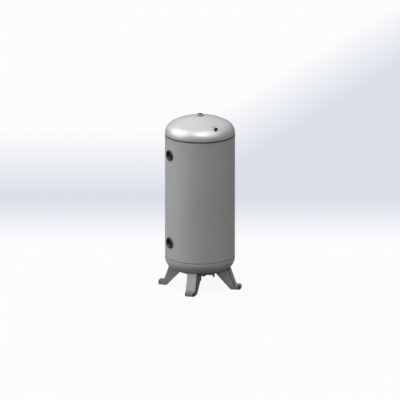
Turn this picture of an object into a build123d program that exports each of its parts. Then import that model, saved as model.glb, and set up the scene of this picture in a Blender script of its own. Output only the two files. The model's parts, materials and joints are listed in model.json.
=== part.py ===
"""Vertical air receiver: a welded 508 mm pressure vessel on four pressed legs.

Frame: +Z up, origin on the vessel axis at floor level, all sizes in millimetres.
The side ports look along -X, the gauge port along -Y, the data plate faces +X
and the four legs stand on the diagonals.
"""
import os
from collections import namedtuple
from math import asin, cos, degrees, radians, sin, tan

from build123d import *

os.makedirs("parts", exist_ok=True)

# ---------------------------------------------------------------- vessel
SHELL_RADIUS = 254.0  # 20 inch outside diameter
WALL = 4.8
BOTTOM_SEAM_Z = 233.0
TOP_SEAM_Z = 1143.0
TOP_GROOVE = 9.0  # width of the weld groove at each girth seam
BOTTOM_GROOVE = 5.0
GROOVE_RECESS = 0.8  # the girth beads sit this far below the skin
FIT_GAP = 0.1  # clearance where one plate slips inside another
PICK_RANGE = 0.01  # half the height band used to pick edges that lie at one level

# dished heads: crown and knuckle radii that come close to a 2:1 ellipse
CROWN_RADIUS = 0.9 * 2 * SHELL_RADIUS
KNUCKLE_RADIUS = 0.17 * 2 * SHELL_RADIUS
TOP_STRAIGHT = 9.5  # straight flange between the seam plane and the knuckle
BOTTOM_STRAIGHT = 11.0
SKIRT_LENGTH = 20.0  # joggled lip of a head, inside the shell
JOGGLE_DROP = 1.0

# longitudinal seam of the rolled shell
LONG_SEAM_ANGLE = 65.0
LONG_SEAM_WIDTH = 6.0
LONG_SEAM_CAP = 1.5

# ---------------------------------------------------------------- ports
# half couplings: outside radius, tap-drill radius and length of each pipe size
PIPE_2 = (38.1, 28.2, 43.0)
PIPE_1 = (22.2, 14.7, 30.0)
PIPE_1_2 = (14.3, 9.15, 50.0)  # long pattern, because the head slopes away above it
PIPE_1_4 = (9.5, 5.56, 17.5)
SIDE_FACE_X = -264.0
UPPER_PORT_Z = 1016.0
LOWER_PORT_Z = 360.0
TOP_FACE_Z = 1293.0
GAUGE_FACE_Y = -229.5
GAUGE_PORT_Z = 1228.0
MOUTH_CHAMFER = 1.5
RIM_CHAMFER = 0.8
PORT_WELD_LEG = 6.0
PORT_WELD_HEIGHT = 4.0
SMALL_WELD_LEG = 4.0
SMALL_WELD_HEIGHT = 3.0

# ---------------------------------------------------------------- legs
LEG_SHEET = 5.0
LEG_ANGLES = {
    "leg_front_left": 225.0,
    "leg_front_right": 315.0,
    "leg_rear_right": 45.0,
    "leg_rear_left": 135.0,
}
WEB_HALF_WIDTH = 37.0
WEB_FOOT_R = 266.3  # radius of the web's outer face at the top of the foot
WEB_LEAN = 19.9  # degrees from the vertical
FLANGE_SPLAY = 6.0  # degrees, the flanges open towards the vessel
FLANGE_TOE_R = 241.0  # inner corner of a flange on the floor
FLANGE_HEEL_R = 130.0  # inner corner of a flange at the head
FLANGE_HEEL_Z = 116.5
LEG_TOP_Z = 175.0  # above the head's surface; the head trims it
FOOT_HEIGHT = 30.0
FOOT_TIP_R = 308.0
FOOT_CORNER = 18.0
BEND_RADIUS = 8.0
FOOT_EDGE_RADIUS = 5.0
FOOT_ROOT_RADIUS = 8.0  # inside corner between the foot's top and the web
TOE_RADIUS = 22.0  # rounded corner of a flange where it meets the floor
BOLT_CIRCLE_R = 290.0
BOLT_HOLE_R = 11.0
LEG_WELD_LEG = 5.0
LEG_WELD_HEIGHT = 5.0

# ---------------------------------------------------------------- data plate
BRACKET_FACE_X = 262.2
BRACKET_SHEET = 2.0
BRACKET_WIDTH = 104.0
BRACKET_HEIGHT = 74.0
BRACKET_Z = 760.0
PLATE_SHEET = 0.8
PLATE_WIDTH = 96.0
PLATE_HEIGHT = 66.0
PLATE_CORNER = 4.0
RIVET_SPACING_Y = 84.0
RIVET_SPACING_Z = 54.0
RIVET_SHANK_R = 1.6
RIVET_HEAD_R = 3.0
RIVET_HEAD_HEIGHT = 1.0
RIVET_TAIL_LENGTH = 1.4

# ---------------------------------------------------------------- drain valve
DRAIN_INNER_Z = 100.2  # flush with the inside of the bottom head
BALL_Z = 64.0
BALL_RADIUS = 6.5
FLOW_RADIUS = 3.4
BODY_RADIUS = 10.0
HEX_ACROSS_FLATS = 20.0
BODY_TOP_Z = 81.5
BODY_HEX_HEIGHT = 7.5
SPIGOT_RADIUS = 5.5
SPIGOT_LENGTH = 10.0
CAVITY_RADIUS = 6.9
CAVITY_HALF_LENGTH = 7.5
RETAINER_RADIUS = 8.5
BODY_BOTTOM_Z = 49.0
OUTLET_Z = 41.0
OUTLET_RADIUS = 5.56
OUTLET_DEPTH = 11.5
SEAT_LENGTH = 3.0
SEAT_GAP = 0.05
BOSS_RADIUS = 6.0
BOSS_FACE_X = -17.0
STEM_RADIUS = 2.5
STEM_GAP = 0.05
STEM_TIP_X = -26.0
TANG_TIP_X = -4.6
TANG_THICKNESS = 2.0
PACKING_RADIUS = 4.0
PACKING_LENGTH = 4.0
FLAT_HALF_WIDTH = 1.9
HANDLE_INNER_X = -18.5
HANDLE_SHEET = 2.5
HUB_RADIUS = 5.5
HANDLE_REACH = 44.0
HANDLE_HALF_WIDTH = 4.5
EAR_REACH = 9.0
EAR_HALF_WIDTH = 1.5
STOP_ANGLE = 225.0  # of the stop post, from +Y turning by way of -Z
STOP_REACH = 7.3
STOP_RADIUS = 1.2
STOP_CLEARANCE = 1.5  # degrees left between an ear and the post
QUARTER_TURN = 90.0
NUT_ACROSS_FLATS = 7.0
NUT_THICKNESS = 3.2
NUT_CHAMFER = 0.6
THREAD_END_RADIUS = 2.0
HEX_CHAMFER = 1.2
HANDLE_EDGE_ROUND = 0.5

# ---------------------------------------------------------------- derived
CENTRE_DISTANCE = CROWN_RADIUS - KNUCKLE_RADIUS
KNUCKLE_CENTRE_R = SHELL_RADIUS - KNUCKLE_RADIUS
BLEND_ANGLE = 90.0 - degrees(asin(KNUCKLE_CENTRE_R / CENTRE_DISTANCE))
CROWN_DROP = CENTRE_DISTANCE * sin(radians(BLEND_ANGLE))
SHELL_INNER_RADIUS = SHELL_RADIUS - WALL
SKIRT_RADIUS = SHELL_INNER_RADIUS - FIT_GAP
UP = 1
DOWN = -1

Port = namedtuple("Port", "name plane radius bore_radius length")


def save_piece(builder, node):
    """Name a finished piece and write it to its own STEP file."""
    builder.part.label = node
    export_step(builder.part, f"parts/{node}.step")


def point_on_circle(centre, radius, angle):
    """Point of a circle in a sketch plane, the angle in degrees."""
    return (
        centre[0] + radius * cos(radians(angle)),
        centre[1] + radius * sin(radians(angle)),
    )


# ================================================================ heads
def section_plane(seam_z, direction):
    """Half-section plane: x is the radius, y runs from the seam into the dome."""
    return Plane(origin=(0, 0, seam_z), x_dir=(1, 0, 0), z_dir=(0, -direction, 0))


def dome_arc_points(inset, straight):
    """Three points each of the knuckle arc and the crown arc, from the rim inwards."""
    knuckle_centre = (KNUCKLE_CENTRE_R, straight)
    crown_centre = (0, straight - CROWN_DROP)
    knuckle_angles = (0, BLEND_ANGLE / 2, BLEND_ANGLE)
    crown_angles = (BLEND_ANGLE, (BLEND_ANGLE + 90) / 2, 90)
    knuckle = [point_on_circle(knuckle_centre, KNUCKLE_RADIUS - inset, a) for a in knuckle_angles]
    crown = [point_on_circle(crown_centre, CROWN_RADIUS - inset, a) for a in crown_angles]
    crown[2] = (0, crown[2][1])
    return knuckle, crown


def filled_dome(seam_z, direction, straight, grow=0.0):
    """Everything inside a head's outer surface, used to trim what meets the head."""
    knuckle, crown = dome_arc_points(-grow, straight)
    with BuildPart() as dome:
        with BuildSketch(section_plane(seam_z, direction)):
            with BuildLine():
                Polyline((0, crown[2][1]), (0, 0), (SHELL_RADIUS + grow, 0), knuckle[0])
                ThreePointArc(*knuckle)
                ThreePointArc(*crown)
            make_face()
        revolve(axis=Axis.Z)
    return dome.part


def dished_head(seam_z, direction, straight, groove, port):
    """Pressed head with a joggled lip that slips inside the shell, and one centre port."""
    outer_knuckle, outer_crown = dome_arc_points(0, straight)
    inner_knuckle, inner_crown = dome_arc_points(WALL, straight)
    with BuildPart() as head:
        with BuildSketch(section_plane(seam_z, direction)):
            with BuildLine():
                ThreePointArc(*outer_knuckle)
                ThreePointArc(*outer_crown)
                Line(outer_crown[2], inner_crown[2])
                ThreePointArc(*inner_crown)
                ThreePointArc(*inner_knuckle)
                Polyline(
                    inner_knuckle[0],
                    (SKIRT_RADIUS - WALL, groove / 2 - JOGGLE_DROP),
                    (SKIRT_RADIUS - WALL, -SKIRT_LENGTH),
                    (SKIRT_RADIUS, -SKIRT_LENGTH),
                    (SKIRT_RADIUS, groove / 2),
                    (SHELL_RADIUS, groove / 2),
                    outer_knuckle[0],
                )
            make_face()
        revolve(axis=Axis.Z)
        cut_port_hole(port)
    return head


def girth_weld(seam_z, groove):
    """Weld bead that fills the groove between the shell and a head."""
    with BuildPart() as weld:
        with BuildSketch(Plane.XY.offset(seam_z - groove / 2)):
            Circle(SHELL_RADIUS - GROOVE_RECESS)
            Circle(SKIRT_RADIUS, mode=Mode.SUBTRACT)
        extrude(amount=groove)
    return weld


# ================================================================ ports
def cut_port_hole(port):
    """Cut the hole that a coupling passes through, in the part being built."""
    with BuildSketch(port.plane) as hole:
        Circle(port.radius + FIT_GAP)
    extrude(hole.sketch, amount=-port.length - WALL, mode=Mode.SUBTRACT)


def coupling(port):
    """Half coupling: a forged sleeve bored at its tap-drill size."""
    with BuildPart() as sleeve:
        with BuildSketch(port.plane):
            Circle(port.radius)
            Circle(port.bore_radius, mode=Mode.SUBTRACT)
        extrude(amount=-port.length)
        mouth_face = sleeve.faces().sort_by(Axis(port.plane.origin, port.plane.z_dir))[-1]
        chamfer(mouth_face.edges().sort_by(SortBy.RADIUS)[0], length=MOUTH_CHAMFER)
        mouth_face = sleeve.faces().sort_by(Axis(port.plane.origin, port.plane.z_dir))[-1]
        chamfer(mouth_face.edges().sort_by(SortBy.RADIUS)[-1], length=RIM_CHAMFER)
    return sleeve


def port_weld(port, host, grown_host, leg):
    """Fillet bead around a coupling where it leaves the host's outer surface."""
    with BuildPart() as bead:
        with BuildSketch(port.plane):
            Circle(port.radius + leg)
            Circle(port.radius, mode=Mode.SUBTRACT)
        extrude(amount=-port.length)
        add(grown_host, mode=Mode.INTERSECT)
        add(host, mode=Mode.SUBTRACT)
    return bead


upper_side_port = Port(
    "upper_side", Plane(origin=(SIDE_FACE_X, 0, UPPER_PORT_Z), z_dir=(-1, 0, 0)), *PIPE_2
)
lower_side_port = Port(
    "lower_side", Plane(origin=(SIDE_FACE_X, 0, LOWER_PORT_Z), z_dir=(-1, 0, 0)), *PIPE_2
)
top_port = Port("top_outlet", Plane(origin=(0, 0, TOP_FACE_Z), z_dir=(0, 0, 1)), *PIPE_1)
gauge_port = Port(
    "gauge", Plane(origin=(0, GAUGE_FACE_Y, GAUGE_PORT_Z), z_dir=(0, -1, 0)), *PIPE_1_2
)
drain_port = Port(
    "drain",
    Plane(origin=(0, 0, DRAIN_INNER_Z - PIPE_1_4[2]), z_dir=(0, 0, -1)),
    *PIPE_1_4,
)

# ================================================================ shell
with BuildPart() as shell:
    with BuildSketch(Plane.XY.offset(BOTTOM_SEAM_Z + BOTTOM_GROOVE / 2)):
        Circle(SHELL_RADIUS)
        Circle(SHELL_INNER_RADIUS, mode=Mode.SUBTRACT)
    extrude(amount=TOP_SEAM_Z - TOP_GROOVE / 2 - BOTTOM_SEAM_Z - BOTTOM_GROOVE / 2)
    with BuildSketch(Plane.XY.offset(BOTTOM_SEAM_Z).rotated((0, 0, LONG_SEAM_ANGLE))):
        with Locations((SHELL_RADIUS, 0)):
            Rectangle(4 * WALL, LONG_SEAM_WIDTH)
    extrude(amount=TOP_SEAM_Z - BOTTOM_SEAM_Z, mode=Mode.SUBTRACT)
    cut_port_hole(upper_side_port)
    cut_port_hole(lower_side_port)
save_piece(shell, "shell")

with BuildPart() as long_seam_weld:
    with BuildSketch(Plane.XY.offset(BOTTOM_SEAM_Z + BOTTOM_GROOVE / 2)):
        Circle(SHELL_RADIUS + LONG_SEAM_CAP)
        Circle(SHELL_INNER_RADIUS, mode=Mode.SUBTRACT)
    extrude(amount=TOP_SEAM_Z - TOP_GROOVE / 2 - BOTTOM_SEAM_Z - BOTTOM_GROOVE / 2)
    with BuildSketch(Plane.XY.offset(BOTTOM_SEAM_Z).rotated((0, 0, LONG_SEAM_ANGLE))):
        with Locations((SHELL_RADIUS, 0)):
            Rectangle(4 * WALL, LONG_SEAM_WIDTH)
    extrude(amount=TOP_SEAM_Z - BOTTOM_SEAM_Z, mode=Mode.INTERSECT)
save_piece(long_seam_weld, "long_seam_weld")

top_girth_weld = girth_weld(TOP_SEAM_Z, TOP_GROOVE)
save_piece(top_girth_weld, "top_girth_weld")

bottom_girth_weld = girth_weld(BOTTOM_SEAM_Z, BOTTOM_GROOVE)
save_piece(bottom_girth_weld, "bottom_girth_weld")

top_head = dished_head(TOP_SEAM_Z, UP, TOP_STRAIGHT, TOP_GROOVE, top_port)
with top_head:
    cut_port_hole(gauge_port)
save_piece(top_head, "top_head")

bottom_head = dished_head(BOTTOM_SEAM_Z, DOWN, BOTTOM_STRAIGHT, BOTTOM_GROOVE, drain_port)
save_piece(bottom_head, "bottom_head")

# ================================================================ couplings and their welds
for port in (upper_side_port, lower_side_port, top_port, gauge_port, drain_port):
    save_piece(coupling(port), f"{port.name}_coupling")

with BuildPart() as filled_shell:
    with BuildSketch(Plane.XY.offset(BOTTOM_SEAM_Z)):
        Circle(SHELL_RADIUS)
    extrude(amount=TOP_SEAM_Z - BOTTOM_SEAM_Z)

with BuildPart() as grown_shell:
    with BuildSketch(Plane.XY.offset(BOTTOM_SEAM_Z)):
        Circle(SHELL_RADIUS + PORT_WELD_HEIGHT)
    extrude(amount=TOP_SEAM_Z - BOTTOM_SEAM_Z)

top_dome = filled_dome(TOP_SEAM_Z, UP, TOP_STRAIGHT)
bottom_dome = filled_dome(BOTTOM_SEAM_Z, DOWN, BOTTOM_STRAIGHT)

for port in (upper_side_port, lower_side_port):
    bead = port_weld(port, filled_shell.part, grown_shell.part, PORT_WELD_LEG)
    save_piece(bead, f"{port.name}_weld")

grown_top_dome = filled_dome(TOP_SEAM_Z, UP, TOP_STRAIGHT, PORT_WELD_HEIGHT)
top_outlet_weld = port_weld(top_port, top_dome, grown_top_dome, PORT_WELD_LEG)
save_piece(top_outlet_weld, "top_outlet_weld")

grown_top_dome = filled_dome(TOP_SEAM_Z, UP, TOP_STRAIGHT, SMALL_WELD_HEIGHT)
gauge_weld = port_weld(gauge_port, top_dome, grown_top_dome, SMALL_WELD_LEG)
save_piece(gauge_weld, "gauge_weld")

grown_bottom_dome = filled_dome(BOTTOM_SEAM_Z, DOWN, BOTTOM_STRAIGHT, SMALL_WELD_HEIGHT)
drain_weld = port_weld(drain_port, bottom_dome, grown_bottom_dome, SMALL_WELD_LEG)
save_piece(drain_weld, "drain_weld")


# ================================================================ legs
def web_radius(height):
    """Radius of the web's outer face at a height above the floor."""
    return WEB_FOOT_R + (FOOT_HEIGHT - height) * tan(radians(WEB_LEAN))


def flange_half_width(radius, height, inset):
    """Half the leg's width at a radius: the flanges open towards the vessel."""
    splay = radians(FLANGE_SPLAY)
    return WEB_HALF_WIDTH - inset / cos(splay) + (web_radius(height) - radius) * tan(splay)


def leg_shaft(inset, toe_r, heel, floor_z):
    """Filled upper leg along +X with its web and flanges moved `inset` inwards.

    toe_r and heel place the edge that faces the vessel, floor_z is its underside.
    """
    web_inset = inset / cos(radians(WEB_LEAN))
    lean = Vector(-sin(radians(WEB_LEAN)), 0, cos(radians(WEB_LEAN)))
    side_profile = (
        (toe_r, floor_z),
        (web_radius(floor_z) - web_inset, floor_z),
        (web_radius(LEG_TOP_Z) - web_inset, LEG_TOP_Z),
        (heel[0], LEG_TOP_Z),
        heel,
    )
    near_r = heel[0] - SHELL_RADIUS
    near_half = flange_half_width(near_r, floor_z, inset)
    far_half = flange_half_width(FOOT_TIP_R, floor_z, inset)
    plan_profile = (
        (near_r, -near_half),
        (FOOT_TIP_R, -far_half),
        (FOOT_TIP_R, far_half),
        (near_r, near_half),
    )
    with BuildPart() as block:
        with BuildSketch(Plane.XZ):
            with BuildLine():
                Polyline(*side_profile, close=True)
            make_face()
        extrude(amount=SHELL_RADIUS, both=True)
        with BuildSketch(Plane.XY.offset(floor_z)):
            with BuildLine():
                Polyline(*plan_profile, close=True)
            make_face()
        extrude(amount=2 * LEG_TOP_Z, dir=lean, mode=Mode.INTERSECT)
        bend_edges = block.edges().filter_by(Axis((0, 0, 0), lean)).group_by(Axis.X)[-1]
        fillet(bend_edges, radius=BEND_RADIUS - inset)
    return block.part


def leg_foot(inset, back_r, floor_z, edge_radius):
    """Filled foot tray along +X with its skin moved `inset` inwards."""
    tip_r = FOOT_TIP_R - inset
    back_half = flange_half_width(back_r, 0, inset)
    tip_half = flange_half_width(tip_r, 0, inset)
    with BuildPart() as foot:
        with BuildSketch(Plane.XY.offset(floor_z)) as plan:
            with BuildLine():
                Polyline(
                    (back_r, -back_half),
                    (tip_r, -tip_half),
                    (tip_r, tip_half),
                    (back_r, back_half),
                    close=True,
                )
            make_face()
            fillet(plan.vertices().group_by(Axis.X)[-1], radius=FOOT_CORNER - inset)
        extrude(amount=FOOT_HEIGHT - inset - floor_z)
        if edge_radius > 0:
            top_edges = foot.faces().sort_by(Axis.Z)[-1].edges()
            fillet(top_edges.sort_by(Axis.X)[1:], radius=edge_radius)
    return foot.part


heel = (FLANGE_HEEL_R, FLANGE_HEEL_Z)
open_side_r = FLANGE_HEEL_R - SHELL_RADIUS / 2
solid_shaft = leg_shaft(0, FLANGE_TOE_R, heel, 0)

with BuildPart() as leg_blank:
    add(solid_shaft)
    add(leg_foot(0, FLANGE_TOE_R, 0, FOOT_EDGE_RADIUS))
    foot_top_edges = leg_blank.edges().filter_by_position(
        Axis.Z, FOOT_HEIGHT - PICK_RANGE, FOOT_HEIGHT + PICK_RANGE
    )
    fillet(foot_top_edges.sort_by(Axis.X)[:3], radius=FOOT_ROOT_RADIUS)
    add(leg_shaft(LEG_SHEET, open_side_r, (open_side_r, LEG_TOP_Z / 2), -LEG_SHEET), mode=Mode.SUBTRACT)
    add(leg_foot(LEG_SHEET, open_side_r, -LEG_SHEET, 0), mode=Mode.SUBTRACT)
    toe_edges = leg_blank.edges().filter_by_position(
        Axis.X, FLANGE_TOE_R - PICK_RANGE, FLANGE_TOE_R + PICK_RANGE
    )
    fillet(toe_edges.filter_by_position(Axis.Z, -PICK_RANGE, PICK_RANGE), radius=TOE_RADIUS)
    add(bottom_dome, mode=Mode.SUBTRACT)
    with BuildSketch(Plane.XY):
        with Locations((BOLT_CIRCLE_R, 0)):
            Circle(BOLT_HOLE_R)
    extrude(amount=FOOT_HEIGHT, mode=Mode.SUBTRACT)

thick_bottom_dome = filled_dome(BOTTOM_SEAM_Z, DOWN, BOTTOM_STRAIGHT, LEG_WELD_HEIGHT)
with BuildPart() as leg_weld_blank:
    add(leg_shaft(-LEG_WELD_LEG, FLANGE_TOE_R, heel, 0))
    add(thick_bottom_dome, mode=Mode.INTERSECT)
    add(bottom_dome, mode=Mode.SUBTRACT)
    add(solid_shaft, mode=Mode.SUBTRACT)

for name, angle in LEG_ANGLES.items():
    with BuildPart() as leg:
        add(leg_blank.part, rotation=(0, 0, angle))
    save_piece(leg, name)
    with BuildPart() as leg_weld:
        add(leg_weld_blank.part, rotation=(0, 0, angle))
    save_piece(leg_weld, f"{name}_weld")

# ================================================================ data plate
rivet_places = GridLocations(RIVET_SPACING_Y, RIVET_SPACING_Z, 2, 2)
bracket_plane = Plane(origin=(BRACKET_FACE_X, 0, BRACKET_Z), x_dir=(0, 1, 0), z_dir=(1, 0, 0))

with BuildPart() as plate_bracket:
    with BuildSketch(Plane.XY.offset(BRACKET_Z - BRACKET_HEIGHT / 2)):
        with Locations((BRACKET_FACE_X, 0)):
            Rectangle(4 * WALL, BRACKET_WIDTH, align=(Align.MAX, Align.CENTER))
        with Locations((BRACKET_FACE_X - BRACKET_SHEET, 0)):
            Rectangle(
                4 * WALL,
                BRACKET_WIDTH - 2 * BRACKET_SHEET,
                align=(Align.MAX, Align.CENTER),
                mode=Mode.SUBTRACT,
            )
    extrude(amount=BRACKET_HEIGHT)
    add(filled_shell.part, mode=Mode.SUBTRACT)
    with BuildSketch(bracket_plane):
        with rivet_places:
            Circle(RIVET_SHANK_R)
    extrude(amount=-BRACKET_SHEET, mode=Mode.SUBTRACT)
save_piece(plate_bracket, "plate_bracket")

with BuildPart() as data_plate:
    with BuildSketch(bracket_plane):
        RectangleRounded(PLATE_WIDTH, PLATE_HEIGHT, PLATE_CORNER)
        with rivet_places:
            Circle(RIVET_SHANK_R, mode=Mode.SUBTRACT)
    extrude(amount=PLATE_SHEET)
save_piece(data_plate, "data_plate")

with BuildPart() as plate_rivets:
    with BuildSketch(bracket_plane.offset(PLATE_SHEET)):
        with rivet_places:
            Circle(RIVET_HEAD_R)
    extrude(amount=RIVET_HEAD_HEIGHT, taper=20)
    with BuildSketch(bracket_plane.offset(PLATE_SHEET)):
        with rivet_places:
            Circle(RIVET_SHANK_R)
    extrude(amount=-PLATE_SHEET - BRACKET_SHEET)
    with BuildSketch(bracket_plane.offset(-BRACKET_SHEET)):
        with rivet_places:
            Circle(RIVET_HEAD_R)
    extrude(amount=-RIVET_TAIL_LENGTH, taper=20)
save_piece(plate_rivets, "plate_rivets")

# ================================================================ drain valve
stem_plane = Plane(origin=(0, 0, BALL_Z), x_dir=(0, 1, 0), z_dir=(-1, 0, 0))
CAVITY_TOP_Z = BALL_Z + CAVITY_HALF_LENGTH
CAVITY_BOTTOM_Z = BALL_Z - CAVITY_HALF_LENGTH


def stem_disc(start_x, end_x, radius, mode=Mode.ADD):
    """Cylinder on the stem's axis between two x positions, start_x the higher."""
    with BuildSketch(stem_plane.offset(-start_x)) as disc:
        Circle(radius)
    extrude(disc.sketch, amount=start_x - end_x, mode=mode)


def upright_disc(low_z, high_z, radius, mode=Mode.ADD):
    """Cylinder on the vessel's axis between two heights."""
    with BuildSketch(Plane.XY.offset(low_z)) as disc:
        Circle(radius)
    extrude(disc.sketch, amount=high_z - low_z, mode=mode)


def wrench_hexagon(plane, across_flats, height, corner_chamfer):
    """Hexagonal block standing on a plane, its corners chamfered at both ends."""
    with BuildPart() as block:
        with BuildSketch(plane):
            Circle(across_flats / 2 / cos(radians(30)))
        extrude(amount=height)
        chamfer(block.edges().filter_by(GeomType.CIRCLE), length=corner_chamfer)
        with BuildSketch(plane):
            RegularPolygon(across_flats / 2, 6, major_radius=False)
        extrude(amount=height, mode=Mode.INTERSECT)
    return block.part


body_hexagon = wrench_hexagon(
    Plane.XY.offset(BODY_TOP_Z - BODY_HEX_HEIGHT), HEX_ACROSS_FLATS, BODY_HEX_HEIGHT, HEX_CHAMFER
)
end_hexagon = wrench_hexagon(
    Plane.XY.offset(OUTLET_Z), HEX_ACROSS_FLATS, BODY_BOTTOM_Z - OUTLET_Z, HEX_CHAMFER
)


with BuildPart() as valve_body:
    upright_disc(BODY_BOTTOM_Z, BODY_TOP_Z, BODY_RADIUS)
    add(body_hexagon)
    upright_disc(BODY_TOP_Z, BODY_TOP_Z + SPIGOT_LENGTH, SPIGOT_RADIUS)
    stem_disc(0, BOSS_FACE_X, BOSS_RADIUS)
    with BuildSketch(stem_plane):
        with Locations(point_on_circle((0, 0), STOP_REACH, STOP_ANGLE)):
            Circle(STOP_RADIUS)
    extrude(amount=-HANDLE_INNER_X + HANDLE_SHEET)
    upright_disc(CAVITY_BOTTOM_Z, CAVITY_TOP_Z, CAVITY_RADIUS, Mode.SUBTRACT)
    upright_disc(BODY_BOTTOM_Z, CAVITY_BOTTOM_Z, RETAINER_RADIUS, Mode.SUBTRACT)
    upright_disc(CAVITY_TOP_Z, BODY_TOP_Z + SPIGOT_LENGTH, FLOW_RADIUS, Mode.SUBTRACT)
    stem_disc(0, BOSS_FACE_X, STEM_RADIUS + STEM_GAP, Mode.SUBTRACT)
    stem_disc(BOSS_FACE_X + PACKING_LENGTH, BOSS_FACE_X, PACKING_RADIUS, Mode.SUBTRACT)
save_piece(valve_body, "valve_body")

with BuildPart() as valve_end:
    add(end_hexagon)
    upright_disc(BODY_BOTTOM_Z, CAVITY_BOTTOM_Z, RETAINER_RADIUS - SEAT_GAP)
    upright_disc(OUTLET_Z, CAVITY_BOTTOM_Z, FLOW_RADIUS, Mode.SUBTRACT)
    upright_disc(OUTLET_Z, OUTLET_Z + OUTLET_DEPTH, OUTLET_RADIUS, Mode.SUBTRACT)
save_piece(valve_end, "valve_end")

for name, low_z in (
    ("upper_seat_ring", CAVITY_TOP_Z - SEAT_LENGTH),
    ("lower_seat_ring", CAVITY_BOTTOM_Z),
):
    with BuildPart() as seat_ring:
        upright_disc(low_z, low_z + SEAT_LENGTH, CAVITY_RADIUS - SEAT_GAP)
        upright_disc(low_z, low_z + SEAT_LENGTH, FLOW_RADIUS, Mode.SUBTRACT)
        with Locations((0, 0, BALL_Z)):
            Sphere(BALL_RADIUS + SEAT_GAP, mode=Mode.SUBTRACT)
    save_piece(seat_ring, name)

# closed at rest: the ball's bore lies across the flow, along Y
with BuildPart() as ball:
    with Locations((0, 0, BALL_Z)):
        Sphere(BALL_RADIUS)
    with BuildSketch(Plane(origin=(0, 0, BALL_Z), x_dir=(1, 0, 0), z_dir=(0, 1, 0))):
        Circle(FLOW_RADIUS)
    extrude(amount=BALL_RADIUS, both=True, mode=Mode.SUBTRACT)
    with BuildSketch(stem_plane.offset(-TANG_TIP_X)):
        Rectangle(2 * BALL_RADIUS, TANG_THICKNESS + 2 * STEM_GAP)
    extrude(amount=BALL_RADIUS, mode=Mode.SUBTRACT)
save_piece(ball, "ball")

with BuildPart() as stem:
    stem_disc(-BALL_RADIUS - SEAT_GAP, HANDLE_INNER_X - HANDLE_SHEET, STEM_RADIUS)
    stem_disc(HANDLE_INNER_X - HANDLE_SHEET, STEM_TIP_X, THREAD_END_RADIUS)
    with BuildSketch(stem_plane.offset(-TANG_TIP_X + SEAT_GAP)):
        Rectangle(2 * THREAD_END_RADIUS, TANG_THICKNESS)
    extrude(amount=BALL_RADIUS + TANG_TIP_X)
    with BuildSketch(stem_plane.offset(-HANDLE_INNER_X)):
        Rectangle(4 * STEM_RADIUS, 4 * STEM_RADIUS)
        Rectangle(4 * STEM_RADIUS, 2 * FLAT_HALF_WIDTH, mode=Mode.SUBTRACT)
    extrude(amount=HANDLE_SHEET, mode=Mode.SUBTRACT)
save_piece(stem, "stem")

with BuildPart() as stem_packing:
    stem_disc(BOSS_FACE_X + PACKING_LENGTH, BOSS_FACE_X, PACKING_RADIUS - SEAT_GAP)
    stem_disc(BOSS_FACE_X + PACKING_LENGTH, BOSS_FACE_X, STEM_RADIUS + STEM_GAP, Mode.SUBTRACT)
save_piece(stem_packing, "stem_packing")

# the two ears meet the stop post at the closed and the open position
stop_half_angle = degrees(asin(STOP_RADIUS / STOP_REACH) + asin(EAR_HALF_WIDTH / STOP_REACH))
ear_offset = stop_half_angle + STOP_CLEARANCE

with BuildPart() as handle:
    with BuildSketch(stem_plane.offset(-HANDLE_INNER_X)):
        Circle(HUB_RADIUS)
        with Locations((HANDLE_REACH / 2 - HANDLE_HALF_WIDTH / 2, 0)):
            Rectangle(HANDLE_REACH - HANDLE_HALF_WIDTH, 2 * HANDLE_HALF_WIDTH)
        with Locations((HANDLE_REACH - HANDLE_HALF_WIDTH, 0)):
            Circle(HANDLE_HALF_WIDTH)
        for ear_angle in (STOP_ANGLE + ear_offset, STOP_ANGLE - QUARTER_TURN - ear_offset):
            with Locations(Location((0, 0), ear_angle)):
                Rectangle(EAR_REACH, 2 * EAR_HALF_WIDTH, align=(Align.MIN, Align.CENTER))
        with BuildSketch(mode=Mode.PRIVATE) as stem_hole:
            Circle(STEM_RADIUS + STEM_GAP)
            Rectangle(4 * STEM_RADIUS, 2 * (FLAT_HALF_WIDTH + STEM_GAP), mode=Mode.INTERSECT)
        add(stem_hole.sketch, mode=Mode.SUBTRACT)
    extrude(amount=HANDLE_SHEET)
    outer_face = handle.faces().sort_by(Axis.X)[0]
    fillet(outer_face.outer_wire().edges(), radius=HANDLE_EDGE_ROUND)
save_piece(handle, "handle")

nut_plane = stem_plane.offset(-HANDLE_INNER_X + HANDLE_SHEET)
with BuildPart() as handle_nut:
    add(wrench_hexagon(nut_plane, NUT_ACROSS_FLATS, NUT_THICKNESS, NUT_CHAMFER))
    with BuildSketch(nut_plane):
        Circle(THREAD_END_RADIUS)
    extrude(amount=NUT_THICKNESS, mode=Mode.SUBTRACT)
save_piece(handle_nut, "handle_nut")
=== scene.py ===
import json
import math

import bmesh
import bpy
import numpy as np
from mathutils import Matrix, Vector, noise
from mathutils.bvhtree import BVHTree


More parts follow.
